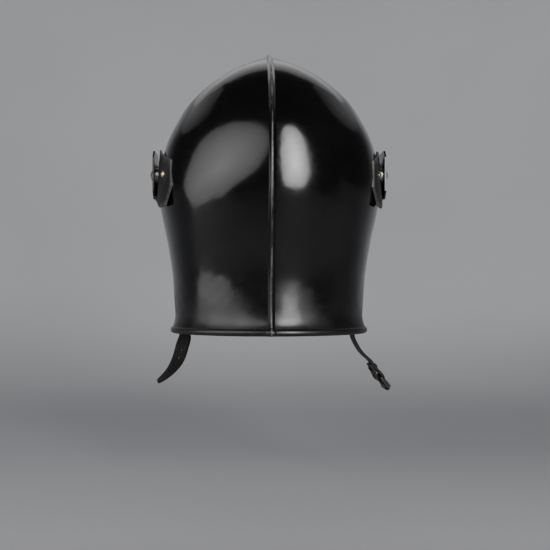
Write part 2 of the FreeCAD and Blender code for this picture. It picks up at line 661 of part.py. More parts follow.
for t in (0.42, 1.12, 1.78, 2.42):
    z = 178.0
    v = v_of_z(z)
    dt = 7.0 / 95.0
    clip = sheet_solid(ring_grid(-SHEET - 0.08, z - 6, z + 8, 4, t - dt, t + dt, 5), ring_grid(-3.0, z - 6, z + 8, 4, t - dt, t + dt, 5))
    p, n = base(v, t), normal(v, t)
    hole = rod(p, n, -12, -1.0, 1.8 + RUN)
    clips.append(clip.cut(rod(p, n, -12, -SHEET - 0.6, 1.8 + RUN)))
    lr_holes.append(hole)
    r = rivet(p, n * -1, -SHEET - 0.65, 6.62, 1.8, 3.8, 1.5)
    liner_rivets.append(r)
both = lr_holes + [mirror_x(h) for h in lr_holes]
band = band.cut(Part.makeCompound(both))
tongues = tongues.cut(Part.makeCompound(both))
save("liner_band", band)
save("liner_tongues", max(tongues.Solids, key=lambda q: q.Volume))
save("liner_clips", Part.makeCompound(clips + [mirror_x(c) for c in clips]))
save("liner_rivets", Part.makeCompound(liner_rivets + [mirror_x(c) for c in liner_rivets]))
save("crown_pad", turned([(0, 0), (28, 0), (31, 1.2), (32, 3.0), (30, 5.0), (24, 8.0), (16, 10.8), (8, 12.6), (0, 13.2)], V(0, 13, 246), V(0, 0, 1)))

# ------------------------------------------------------------------ chin strap ends
SY, SZ = STRAP_PIVOT
wall_x = side_x(SY, SZ, -SHEET)


def strap_solid(line, side_dirs, widths, thick):
    """A flat strap: line of centre points, unit width directions and widths, one thickness."""
    n = len(line)
    top, bot = [], []
    for k in range(n):
        d = line[min(n - 1, k + 1)] - line[max(0, k - 1)]
        d.normalize()
        w = side_dirs[k]
        w = w - d * w.dot(d)
        w.normalize()
        m = d.cross(w)
        m.normalize()
        a, b = [], []
        for f in (-0.5, -0.25, 0.0, 0.25, 0.5):
            q = line[k] + w * (f * widths[k])
            a.append(q + m * (thick / 2))
            b.append(q - m * (thick / 2))
        top.append(a)
        bot.append(b)
    return sheet_solid(top, bot)


def w_dir(deg):
    """Width direction turned deg from fore-and-aft towards across, front edge outwards."""
    a = -math.radians(deg)
    return V(math.sin(a), math.cos(a), 0)


tab = {}
for side in ("left", "right"):
    zz = SZ
    v = v_of_z(zz)
    tt = t_of_y(v, SY)
    dt = 9.0 / 92.0
    tab[side] = sheet_solid(ring_grid(-SHEET - 0.08, zz - 9, zz + 12, 4, tt - dt, tt + dt, 5), ring_grid(-SHEET - 1.4, zz - 9, zz + 12, 4, tt - dt, tt + dt, 5))
v = v_of_z(SZ)
face_x = min(side_x(SY + dy, SZ + dz, -SHEET - 1.4) for dy in (-9, 0, 9) for dz in (-9, 0, 9))
sx = face_x - 0.35 - STRAP_T / 2 - 0.1

# wearer's left: the plain tongue end
L = [(sx - 0.1, SZ + 12, 0, 18), (sx - 0.1, SZ + 8, 0, 20), (sx - 0.1, SZ, 0, 20), (sx - 0.5, SZ - 8, 4, 20), (sx - 2.0, SZ - 16, 14, 19.6), (80.8, 4, 26, 19.2),
     (80.6, -3, 36, 18.6), (82.4, -9.5, 42, 18), (84.3, -16, 44, 17.4), (86.8, -23.5, 44, 16.6), (90.6, -30.5, 40, 15.6), (95.2, -36.4, 34, 14.6),
     (100.4, -41.4, 28, 13.4), (104.2, -44.4, 25, 11.0), (106.6, -46.2, 24, 7.0)]
line = [V(x, SY, z) for x, z, _, _ in L]
strap_left = strap_solid(line, [w_dir(a) for _, _, a, _ in L], [w for _, _, _, w in L], STRAP_T)
left_holes = [rod(V(0, SY, SZ), V(1, 0, 0), 60, 120, 2.0 + RUN)]
for k in (8, 9, 10, 11):
    d = line[k + 1] - line[k - 1]
    d.normalize()
    w = w_dir(L[k][2])
    w = w - d * w.dot(d)
    w.normalize()
    left_holes.append(rod(line[k], d.cross(w), -6, 6, 1.7))
strap_left = strap_left.cut(Part.makeCompound(left_holes))

# wearer's right: the buckle end, folded round the buckle's bar (modelled on +X and mirrored)
BAR, ROLLER = V(105.0, SY, -41.5), V(111.3, SY, -51.0)
bd = ROLLER - BAR
bd.normalize()
bn = V(-bd.z, 0, bd.x)           # outward and up from the strap's face
if bn.x < 0:
    bn = bn * -1
WIRE_R, ROLL_OUT = 1.5, 2.5
gap = 0.1
off = WIRE_R + gap + STRAP_T / 2 - 0.0
R1 = [(sx - 0.1, SZ + 12, 0, 18), (sx - 0.1, SZ + 8, 0, 20), (sx - 0.1, SZ, 0, 20), (sx - 0.5, SZ - 8, 0, 20), (sx - 1.6, SZ - 15, 4, 19.6), (79.2, 5, 8, 19),
      (79.3, -1.5, 10, 18.6), (82.2, -9, 8, 18.2), (85.8, -15.2, 6, 18), (90.8, -21.0, 3, 18)]
for s_on, lift in ((17.0, 1.3), (10.5, 1.3), (4.8, 2.35)):
    q = BAR - bd * s_on + bn * lift
    R1.append((q.x, q.z, 0, 18))
line_r = [V(x, SY, z) for x, z, _, _ in R1]
line_r.append(BAR + bn * off)
for k in range(1, 8):
    a = math.pi * k / 8
    line_r.append(BAR + bn * (off * math.cos(a)) + bd * (off * math.sin(a)))
for s_back, lift in ((0.0, off), (4.8, 2.35), (10.5, 1.3), (15.5, 1.3)):
    line_r.append(BAR - bd * s_back - bn * lift)
path_a, path_b = [], []
for k in range(len(line_r)):
    d = line_r[min(len(line_r) - 1, k + 1)] - line_r[max(0, k - 1)]
    d.normalize()
    m3 = V(-d.z, 0, d.x)
    path_a.append(V(line_r[k].x, SY - STRAP_W / 2 + 0.8, line_r[k].z) + m3 * (STRAP_T / 2))
    path_b.append(V(line_r[k].x, SY - STRAP_W / 2 + 0.8, line_r[k].z) - m3 * (STRAP_T / 2))
ca, cb = Part.BSplineCurve(), Part.BSplineCurve()
ca.interpolate(path_a)
cb.interpolate(path_b)
strap_right = Part.Face(Part.Wire(Part.__sortEdges__([ca.toShape(), cb.toShape(), Part.makeLine(path_a[0], path_b[0]),
                                                      Part.makeLine(path_a[-1], path_b[-1])]))).extrude(V(0, STRAP_W - 1.6, 0))
u, w3 = bd, bn
m = FreeCAD.Matrix(u.x, 0, w3.x, BAR.x, u.y, 1, w3.y, BAR.y, u.z, 0, w3.z, BAR.z, 0, 0, 0, 1)
box = Part.makeBox(9.5, 6.6, 16.0, V(-4.6, -3.3, -8.0)).transformGeometry(m)
strap_right = strap_right.cut(box)
fold_at = BAR - bd * 10.5
strap_right = strap_right.cut(Part.makeCompound([rod(V(0, SY, SZ), V(1, 0, 0), 60, 120, 2.0 + RUN), rod(fold_at, bn, -12, 12, 1.5 + RUN)]))
fold_rivet = rivet(fold_at, bn, 1.3 + STRAP_T / 2 + 0.68, 1.3 + STRAP_T / 2 + 0.68, 1.5, 3.4, 1.4, 2.8, 0.8)

# buckle: a rectangular frame of round wire; the roller turns on its far bar; the prong swings on the strap bar
HALF_Y = 11.6
fr = None
corners = [BAR + V(0, -HALF_Y, 0), BAR + V(0, HALF_Y, 0), ROLLER + V(0, HALF_Y, 0), ROLLER + V(0, -HALF_Y, 0)]
pieces = []
for i in range(4):
    a, b = corners[i], corners[(i + 1) % 4]
    pieces.append(Part.makeCylinder(WIRE_R, (b - a).Length, a, b - a))
    pieces.append(Part.makeSphere(WIRE_R, a))
frame = pieces[0].fuse(pieces[1:])
roller = tube(ROLLER, V(0, 1, 0), -HALF_Y + 2.0, HALF_Y - 2.0, ROLL_OUT, WIRE_R + RUN)
ring_p = tube(BAR, V(0, 1, 0), -2.4, 2.4, 3.0, WIRE_R + RUN)
tip = ROLLER + bn * (ROLL_OUT + 1.3) + bd * 1.6
root = BAR + bn * 2.6 + bd * 1.6
pd = tip - root
pin = Part.makeCylinder(1.15, pd.Length, root, pd).fuse(Part.makeSphere(1.15, tip))
prong = ring_p.fuse(pin).cut(rod(BAR, V(0, 1, 0), -5, 5, WIRE_R + RUN))
if len(prong.Solids) > 1:
    prong = max(prong.Solids, key=lambda q: q.Volume)
keeper_c = BAR - bd * 19.5
save("strap_left", strap_left)
save("strap_right", mirror_x(strap_right))
for side in ("left", "right"):
    fix = (lambda s: s) if side == "left" else mirror_x
    t = tab[side].cut(rod(V(0, SY, SZ), V(1, 0, 0), 60, 120, 2.0 + 0.02))
    t = t.Solids[0]
    x_out = max(side_x(SY, SZ, -SHEET) - 0.6, face_x + 0.2)
    r = rivet(V(x_out, SY, SZ), V(-1, 0, 0), 0.0, x_out - (sx - STRAP_T / 2 - 0.15 - 0.25), 2.0, 4.6, 1.8)
    save("strap_tab_" + side, fix(t))
    save("strap_rivet_" + side, fix(r))
save("strap_fold_rivet", mirror_x(fold_rivet))
save("buckle_frame", mirror_x(frame))
save("buckle_roller", mirror_x(roller))
save("buckle_prong", mirror_x(prong))

box = None
for s in made.values():
    box = s.BoundBox if box is None else box.united(s.BoundBox)
print("whole", [round(x, 1) for x in (box.XMin, box.XMax, box.YMin, box.YMax, box.ZMin, box.ZMax)])
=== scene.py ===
import bpy
import math
import numpy as np
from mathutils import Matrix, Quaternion, Vector


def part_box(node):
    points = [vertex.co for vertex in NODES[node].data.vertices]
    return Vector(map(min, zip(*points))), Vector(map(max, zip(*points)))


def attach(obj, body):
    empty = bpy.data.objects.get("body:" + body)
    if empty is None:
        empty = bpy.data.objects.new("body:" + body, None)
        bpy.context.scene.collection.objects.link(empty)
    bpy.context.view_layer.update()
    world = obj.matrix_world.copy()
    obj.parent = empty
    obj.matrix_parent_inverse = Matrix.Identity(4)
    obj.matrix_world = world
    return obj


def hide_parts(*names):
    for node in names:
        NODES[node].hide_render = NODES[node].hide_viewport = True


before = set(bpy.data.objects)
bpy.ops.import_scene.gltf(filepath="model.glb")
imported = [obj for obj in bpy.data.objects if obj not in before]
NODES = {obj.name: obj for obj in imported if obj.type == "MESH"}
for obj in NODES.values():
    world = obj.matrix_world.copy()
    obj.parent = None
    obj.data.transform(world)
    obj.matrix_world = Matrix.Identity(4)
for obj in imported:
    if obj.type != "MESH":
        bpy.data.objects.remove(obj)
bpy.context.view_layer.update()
MM = 0.001

# ------------------------------------------------------------------ camera
cam_data = bpy.data.cameras.new("camera")
cam = bpy.data.objects.new("camera", cam_data)
bpy.context.scene.collection.objects.link(cam)
cam_data.sensor_width = 36.0
cam_data.lens = 45.8
cam_data.shift_y = 28.0 / 550.0
cam_data.clip_start = 0.01
cam_data.clip_end = 20.0
cam.location = (0.0195, 0.700, 0.029)
cam.rotation_euler = (math.radians(90), 0, math.radians(180))
# the axis of the skull is aimed at; the camera stands a little towards +X
cam_data.shift_x = (6.7 + 19.5) / 550.0
bpy.context.scene.camera = cam

# ------------------------------------------------------------------ node helpers


def new_mat(name):
    m = bpy.data.materials.new(name)
    m.use_nodes = True
    nt = m.node_tree
    nt.nodes.clear()
    out = nt.nodes.new("ShaderNodeOutputMaterial")
    p = nt.nodes.new("ShaderNodeBsdfPrincipled")
    nt.links.new(p.outputs["BSDF"], out.inputs["Surface"])
    co = nt.nodes.new("ShaderNodeTexCoord")
    return m, nt, p, co.outputs["Object"]


def noise(nt, vec, scale, detail=4.0, rough=0.55, distort=0.0, stretch=None):
    if stretch:
        mp = nt.nodes.new("ShaderNodeMapping")
        mp.inputs["Scale"].default_value = stretch
        nt.links.new(vec, mp.inputs["Vector"])
        vec = mp.outputs["Vector"]
    n = nt.nodes.new("ShaderNodeTexNoise")
    n.inputs["Scale"].default_value = scale
    n.inputs["Detail"].default_value = detail
    n.inputs["Roughness"].default_value = rough
    n.inputs["Distortion"].default_value = distort
    nt.links.new(vec, n.inputs["Vector"])
    return n.outputs["Fac"]


def voronoi(nt, vec, scale, feature="F1", stretch=None):
    if stretch:
        mp = nt.nodes.new("ShaderNodeMapping")
        mp.inputs["Scale"].default_value = stretch
        nt.links.new(vec, mp.inputs["Vector"])
        vec = mp.outputs["Vector"]
    n = nt.nodes.new("ShaderNodeTexVoronoi")
    n.feature = feature
    n.inputs["Scale"].default_value = scale
    nt.links.new(vec, n.inputs["Vector"])
    return n.outputs["Distance"]


def ramp(nt, fac, lo, hi, a, b):
    """a below lo, b above hi."""
    n = nt.nodes.new("ShaderNodeMapRange")
    n.clamp = True
    n.inputs["From Min"].default_value = lo
    n.inputs["From Max"].default_value = hi
    n.inputs["To Min"].default_value = a
    n.inputs["To Max"].default_value = b
    nt.links.new(fac, n.inputs["Value"])
    return n.outputs["Result"]


def colours(nt, fac, stops):
    r = nt.nodes.new("ShaderNodeValToRGB")
    el = r.color_ramp.elements
    while len(el) > 1:
        el.remove(el[-1])
    el[0].position, el[0].color = stops[0][0], (*stops[0][1], 1)
    for pos, col in stops[1:]:
        e = el.new(pos)
        e.color = (*col, 1)
    nt.links.new(fac, r.inputs["Fac"])
    return r.outputs["Color"]


def mix(nt, fac, a, b):
    n = nt.nodes.new("ShaderNodeMix")
    n.data_type = "RGBA"
    nt.links.new(fac, n.inputs["Factor"])
    for sock, v in ((n.inputs[6], a), (n.inputs[7], b)):
        if isinstance(v, tuple):
            sock.default_value = (*v, 1)
        else:
            nt.links.new(v, sock)
    return n.outputs[2]


def math_node(nt, op, a, b):
    n = nt.nodes.new("ShaderNodeMath")
    n.operation = op
    for i, v in enumerate((a, b)):
        if isinstance(v, (int, float)):
            n.inputs[i].default_value = v
        else:
            nt.links.new(v, n.inputs[i])
    return n.outputs[0]


def math_colour(nt, a, b):
    n = nt.nodes.new("ShaderNodeMix")
    n.data_type = "RGBA"
    n.blend_type = "MULTIPLY"
    n.inputs["Factor"].default_value = 1.0
    nt.links.new(a, n.inputs[6])
    nt.links.new(b, n.inputs[7])
    return n.outputs[2]


def bump(nt, p, height, strength, dist, normal=None):
    b = nt.nodes.new("ShaderNodeBump")
    b.inputs["Strength"].default_value = strength
    b.inputs["Distance"].default_value = dist
    nt.links.new(height, b.inputs["Height"])
    if normal is not None:
        nt.links.new(normal, b.inputs["Normal"])
    nt.links.new(b.outputs["Normal"], p.inputs["Normal"])
    return b.outputs["Normal"]


def edge_mask(nt, lo, hi):
    """Raised edges, from the mesh's own shape."""
    g = nt.nodes.new("ShaderNodeNewGeometry")
    return ramp(nt, g.outputs["Pointiness"], lo, hi, 0.0, 1.0)


# ------------------------------------------------------------------ materials
def black_steel():
    m, nt, p, co = new_mat("black_steel")
    big = noise(nt, co, 22.0, 3.0, 0.5)
    fine = noise(nt, co, 420.0, 3.0, 0.6)
    dust = noise(nt, co, 1400.0, 2.0, 0.5)
    base = colours(nt, big, [(0.3, (0.0022, 0.0022, 0.0026)), (0.7, (0.0042, 0.0040, 0.0042))])
    speck = ramp(nt, dust, 0.74, 0.80, 0.0, 0.3)
    base = mix(nt, speck, base, (0.03, 0.03, 0.031))
    wear = math_node(nt, "MULTIPLY", edge_mask(nt, 0.56, 0.66), ramp(nt, fine, 0.42, 0.62, 0.1, 1.0))
    base = mix(nt, wear, base, (0.085, 0.082, 0.080))
    # the keel crest is painted lighter in patches: a painted highlight along the crest, partly worn paint
    at = nt.nodes.new("ShaderNodeSeparateXYZ")
    nt.links.new(co, at.inputs[0])
    crest = ramp(nt, math_node(nt, "ABSOLUTE", at.outputs["X"], 0.0), 0.00025, 0.00085, 1.0, 0.0)
    crest = math_node(nt, "MULTIPLY", crest, ramp(nt, noise(nt, co, 24.0, 4.0, 0.6), 0.44, 0.62, 0.08, 1.0))
    base = mix(nt, crest, base, (0.155, 0.152, 0.147))
    nt.links.new(base, p.inputs["Base Color"])
    scuff = noise(nt, co, 60.0, 5.0, 0.65, 0.6)
    r = math_node(nt, "ADD", ramp(nt, scuff, 0.35, 0.75, 0.10, 0.20), math_node(nt, "MULTIPLY", speck, 0.5))
    r = math_node(nt, "ADD", r, math_node(nt, "MULTIPLY", wear, 0.12))
    place = nt.nodes.new("ShaderNodeSeparateXYZ")
    nt.links.new(co, place.inputs[0])
    low = ramp(nt, place.outputs["Z"], 0.0, 0.055, 0.36, 0.0)
    r = math_node(nt, "ADD", r, math_node(nt, "MULTIPLY", low, ramp(nt, big, 0.35, 0.65, 0.5, 1.3)))
    nt.links.new(r, p.inputs["Roughness"])
    p.inputs["Specular IOR Level"].default_value = 0.5
    p.inputs["Coat Weight"].default_value = 0.12
    p.inputs["Coat Roughness"].default_value = 0.06
    peel = noise(nt, co, 330.0, 2.0, 0.5)
    waves = noise(nt, co, 38.0, 2.0, 0.4, 0.3)
    h = math_node(nt, "ADD", math_node(nt, "MULTIPLY", peel, 0.025), math_node(nt, "MULTIPLY", waves, 0.35))
    bump(nt, p, h, 0.5, 0.0006)
    return m


def dark_plate():
    m, nt, p, co = new_mat("dark_plate")
    big = noise(nt, co, 55.0, 5.0, 0.6, 0.4)
    grit = noise(nt, co, 900.0, 3.0, 0.6)
    base = colours(nt, big, [(0.28, (0.0035, 0.0035, 0.004)), (0.55, (0.0075, 0.0075, 0.008)), (0.8, (0.017, 0.016, 0.016))])
    wear = math_node(nt, "MULTIPLY", edge_mask(nt, 0.53, 0.62), ramp(nt, grit, 0.35, 0.6, 0.25, 1.0))
    base = mix(nt, wear, base, (0.14, 0.135, 0.13))
    nt.links.new(base, p.inputs["Base Color"])
    nt.links.new(ramp(nt, grit, 0.3, 0.7, 0.42, 0.62), p.inputs["Roughness"])
    p.inputs["Specular IOR Level"].default_value = 0.3
    nt.links.new(math_node(nt, "MULTIPLY", wear, 0.8), p.inputs["Metallic"])
    bump(nt, p, math_node(nt, "ADD", math_node(nt, "MULTIPLY", grit, 0.3), math_node(nt, "MULTIPLY", big, 0.5)), 0.4, 0.0004)
    return m


def metal(name, dark, light, rough_lo, rough_hi, scratch=1.0, tarnish=None):
    m, nt, p, co = new_mat(name)
    big = noise(nt, co, 160.0, 4.0, 0.6, 0.5)
    fine = noise(nt, co, 900.0, 3.0, 0.6, 0.0, (1.0, 6.0, 1.0))
    base = colours(nt, big, [(0.3, dark), (0.65, light)])
    if tarnish:
        base = mix(nt, ramp(nt, noise(nt, co, 260.0, 5.0, 0.7), 0.55, 0.7, 0.0, 0.75), base, tarnish)
    nt.links.new(base, p.inputs["Base Color"])
    p.inputs["Metallic"].default_value = 1.0
    nt.links.new(ramp(nt, fine, 0.3, 0.7, rough_lo, rough_hi), p.inputs["Roughness"])
    bump(nt, p, fine, 0.18 * scratch, 0.0003)
    return m


def leather(name, dark, light, edge, rough_lo, rough_hi, cell=520.0, depth=0.00022):
    m, nt, p, co = new_mat(name)
    big = noise(nt, co, 60.0, 4.0, 0.6, 0.4)
    cells = voronoi(nt, co, cell, "DISTANCE_TO_EDGE")
    cells2 = voronoi(nt, co, cell * 2.1, "DISTANCE_TO_EDGE")
    base = colours(nt, big, [(0.3, dark), (0.7, light)])
    base = mix(nt, math_node(nt, "MULTIPLY", edge_mask(nt, 0.52, 0.6), 0.8), base, edge)
    base = mix(nt, ramp(nt, cells, 0.0, 0.12, 0.55, 0.0), base, tuple(c * 0.45 for c in dark))
    nt.links.new(base, p.inputs["Base Color"])
    nt.links.new(ramp(nt, big, 0.3, 0.7, rough_lo, rough_hi), p.inputs["Roughness"])
    h = math_node(nt, "ADD", ramp(nt, cells, 0.0, 0.22, 0.0, 1.0), math_node(nt, "MULTIPLY", ramp(nt, cells2, 0.0, 0.2, 0.0, 1.0), 0.35))
    bump(nt, p, h, 0.6, depth)
    return m


def felt():
    m, nt, p, co = new_mat("felt")
    a = noise(nt, co, 900.0, 6.0, 0.75, 1.2)
    b = noise(nt, co, 90.0, 3.0, 0.6)
    base = colours(nt, math_node(nt, "ADD", math_node(nt, "MULTIPLY", a, 0.6), math_node(nt, "MULTIPLY", b, 0.4)),
                   [(0.35, (0.085, 0.078, 0.070)), (0.6, (0.19, 0.175, 0.16))])
    nt.links.new(base, p.inputs["Base Color"])
    nt.links.new(ramp(nt, a, 0.3, 0.7, 0.85, 1.0), p.inputs["Roughness"])
    p.inputs["Sheen Weight"].default_value = 0.35
    p.inputs["Sheen Roughness"].default_value = 0.5
    bump(nt, p, a, 0.7, 0.0005)
    return m


M_BLACK = black_steel()
M_PLATE = dark_plate()
M_BRASS = metal("brass", (0.40, 0.30, 0.15), (0.74, 0.60, 0.36), 0.18, 0.36, 1.0, (0.15, 0.11, 0.06))
M_RIVET = metal("dark_rivet", (0.022, 0.022, 0.024), (0.060, 0.057, 0.055), 0.30, 0.50)
M_STEEL = metal("plain_steel", (0.30, 0.30, 0.31), (0.52, 0.52, 0.53), 0.22, 0.42, 1.0, (0.14, 0.12, 0.10))
M_STRAP = leather("strap_leather", (0.0009, 0.0008, 0.0008), (0.0026, 0.0023, 0.0022), (0.012, 0.009, 0.007), 0.42, 0.60)
M_STRAP.node_tree.nodes["Principled BSDF"].inputs["Specular IOR Level"].default_value = 0.22
M_LINER = leather("liner_leather", (0.22, 0.115, 0.05), (0.38, 0.22, 0.11), (0.45, 0.30, 0.17), 0.5, 0.7, 420.0)
M_FELT = felt()
M_THREAD = leather("thread", (0.10, 0.09, 0.075), (0.20, 0.18, 0.15), (0.2, 0.18, 0.15), 0.7, 0.9, 1500.0, 0.00008)

LOOK = {
    "black_steel": (M_BLACK, ["skull_left", "skull_right", "neck_roll", "visor_plate", "face_border", "visor_arm_left", "visor_arm_right"]),
    "dark_plate": (M_PLATE, ["pivot_plate_left", "pivot_plate_right"]),
    "brass": (M_BRASS, ["pivot_bolt_left", "pivot_bolt_right", "pivot_plate_rivets", "liner_rivets"]),
    "dark_rivet": (M_RIVET, ["face_border_rivets", "visor_arm_rivets", "lifting_peg", "strap_rivet_left", "strap_rivet_right", "strap_fold_rivet",
                             "buckle_frame", "buckle_roller", "buckle_prong"]),
    "plain_steel": (M_STEEL, ["neck_roll_wire", "pivot_spacer_left", "pivot_spacer_right", "pivot_washer_left", "pivot_washer_right",
                              "pivot_nut_left", "pivot_nut_right", "liner_clips", "strap_tab_left", "strap_tab_right"]),
    "strap_leather": (M_STRAP, ["strap_left", "strap_right"]),
    "liner_leather": (M_LINER, ["liner_band", "liner_tongues"]),
    "felt": (M_FELT, ["crown_pad"]),
}
for slot_name, (material, names) in LOOK.items():
    for name in names:
        if name in NODES:
            o = NODES[name]
            if not o.data.materials:
                o.data.materials.append(material)
            for i in range(len(o.data.materials)):
                o.data.materials[i] = material

# ------------------------------------------------------------------ the skull's own surface, as in the CAD
STATIONS = [
    (5.6, 94.6, 102.0, -92.0, 8.0), (9.0, 93.2, 100.0, -90.5, 8.0), (14.5, 91.9, 98.6, -90.0, 8.0),
    (26.0, 92.2, 98.5, -92.0, 8.0), (38.0, 92.95, 99.5, -94.5, 8.3), (55.0, 94.1, 102.2, -99.0, 9.0),
    (72.0, 96.35, 107.0, -105.0, 10.3), (90.0, 99.2, 113.6, -111.0, 12.2), (107.0, 102.6, 119.8, -116.0, 14.5),
    (119.0, 104.75, 123.8, -119.0, 16.2), (133.0, 106.15, 126.9, -121.0, 17.6), (155.0, 104.5, 127.6, -122.0, 18.4),
    (181.0, 98.1, 123.2, -120.0, 18.4), (198.0, 89.9, 115.6, -115.0, 18.0), (216.0, 78.9, 103.6, -105.5, 17.0),
    (227.0, 68.8, 92.6, -96.0, 16.0), (239.0, 55.3, 76.8, -81.5, 14.8), (250.5, 39.8, 56.5, -60.5, 13.6),
    (258.0, 27.7, 40.0, -40.5, 12.8), (264.0, 16.2, 26.0, -22.5, 12.2), (267.8, 7.0, 17.0, -4.0, 12.0),
    (269.4, 0.0, 12.0, 12.0, 12.0)]


def natural(xs, ys):
    xs, ys = np.array(xs, float), np.array(ys, float)
    n = len(xs)
    h = np.diff(xs)
    A, d = np.eye(n), np.zeros(n)
    for i in range(1, n - 1):
        A[i, i - 1], A[i, i], A[i, i + 1] = h[i - 1], 2 * (h[i - 1] + h[i]), h[i]
        d[i] = 6 * ((ys[i + 1] - ys[i]) / h[i] - (ys[i] - ys[i - 1]) / h[i - 1])
    m = np.linalg.solve(A, d)

    def f(x):
        x = np.asarray(x, float)
        k = np.clip(np.searchsorted(xs, x, side="left") - 1, 0, n - 2)
        t = x - xs[k]
        return (ys[k] + t * ((ys[k + 1] - ys[k]) / h[k] - h[k] * (2 * m[k] + m[k + 1]) / 6)
                + t * t * m[k] / 2 + t ** 3 * (m[k + 1] - m[k]) / (6 * h[k]))
    return f


_v = np.concatenate([[0.0], np.cumsum([math.hypot(q[0] - p[0], q[1] - p[1]) for p, q in zip(STATIONS, STATIONS[1:])])])
_v = _v / _v[-1]
S_Z, S_A, S_B, S_F, S_C = [natural(_v, [s[k] for s in STATIONS]) for k in range(5)]


def base(v, t):
    a, b, f, c = S_A(v), S_B(v), S_F(v), S_C(v)
    st, ct = np.sin(t), np.cos(t)
    y = np.where(ct >= 0, c + (b - c) * ct * (1 - 0.02 * st * st), c + (c - f) * ct * (1 + 0.02 * st * st))
    return np.stack([a * st, y, S_Z(v) + 0 * t], -1)


def surf_normal(v, t):
    e = 1e-4
    v0, v1 = np.maximum(0.0, v - e), np.minimum(0.9998, v + e)
    dv = base(v1, t) - base(v0, t)
    dt = base(v, t + e) - base(v, t - e)
    n = np.cross(dt, dv)
    n /= np.maximum(np.linalg.norm(n, axis=-1, keepdims=True), 1e-12)
    p = base(v, t)
    ref = np.stack([p[..., 0], p[..., 1] - S_C(v), 0.3 * (p[..., 2] - 100)], -1)
    n = np.where((n * ref).sum(-1, keepdims=True) < 0, -n, n)
    flat = np.abs(np.sin(t)) < 1e-9
    n[..., 0] = np.where(flat, 0.0, n[..., 0])
    n /= np.linalg.norm(n, axis=-1, keepdims=True)
    n[v > 0.9995] = (0, 0, 1)
    return n


KEEL_FOOT = 3.1


def keel(x, k=1.0, soft=0.75):
    """A sharp medial keel with a slightly rounded crest, on a broad low crest."""
    x = np.sqrt(x * x + soft * soft)
    return k * 3.85 * np.maximum(0.0, 1 - x / KEEL_FOOT) + 0.95 * np.maximum(0.0, 1 - x / 34.0) ** 2


def ripple(p):
    """Faint planishing unevenness left by the hammer and the wheel, in mm."""
    x, y, z = p[..., 0], p[..., 1], p[..., 2]
    s = (np.sin(x * 0.21 + 1.3 * np.sin(z * 0.083) + 0.4) * np.sin(z * 0.17 + 0.8 * np.sin(y * 0.11) + 1.1)
         + 0.6 * np.sin(y * 0.26 + z * 0.09 + 2.0) * np.sin(x * 0.33 - z * 0.21)
         + 0.4 * np.sin(x * 0.51 + z * 0.47 + 0.7 * np.sin(y * 0.3)))
    low = np.clip((70.0 - z) / 60.0, 0.0, 1.0)
    return s * (0.034 + 0.030 * low)


def make_mesh(name, verts, faces, material, body, smooth_deg=35.0):
    me = bpy.data.meshes.new(name)
    me.from_pydata([tuple(map(float, v)) for v in verts], [], faces)
    me.validate()
    me.polygons.foreach_set("use_smooth", [True] * len(me.polygons))
    me.set_sharp_from_angle(angle=math.radians(smooth_deg))
    me.materials.append(material)
    o = bpy.data.objects.new(name, me)
    bpy.context.scene.collection.objects.link(o)
    if body:
        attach(o, body)
    return o


def col_faces(nu, nv, flip, pole=False):
    """Quads of an nu by nv grid of vertices, index i*nv+j."""
    f = []
    for i in range(nu - 1):
        for j in range(nv - 1):
            a, b, c, d = i * nv + j, (i + 1) * nv + j, (i + 1) * nv + j + 1, i * nv + j + 1
            f.append((a, d, c, b) if flip else (a, b, c, d))
    return f


xs_cols = np.array([0, .1, .2, .32, .46, .64, .9, 1.3, 1.8, 2.4, math.sqrt(3.1 ** 2 - .75 ** 2), 3.25, 3.6, 4.5, 5.8, 7.5, 9.5, 12, 15, 18.5, 22.5, 27, 32])
N_MID = 92


def columns(v):
    """Angles of the grid's columns at height v: the ones near the keel keep their distance from it."""
    a = float(S_A(v))
    ae = max(a, 12.0)
    room = min(1.0, (0.45 * ae - 4.5) / (32.0 - 4.5)) if 0.45 * ae > 4.5 else 0.02
    x = np.where(xs_cols <= 4.5, xs_cols, 4.5 + (xs_cols - 4.5) * max(room, 0.02))
    t = np.arcsin(np.clip(x / ae, 0, 0.98))
    mid = np.linspace(t[-1], math.pi - t[-1], N_MID)[1:-1]
    return np.concatenate([t, mid, math.pi - t[::-1]])


VV = np.concatenate([np.linspace(0, 0.9, 110), np.linspace(0.9, 0.985, 18)[1:], [0.990, 0.994, 0.997, 0.9985]])


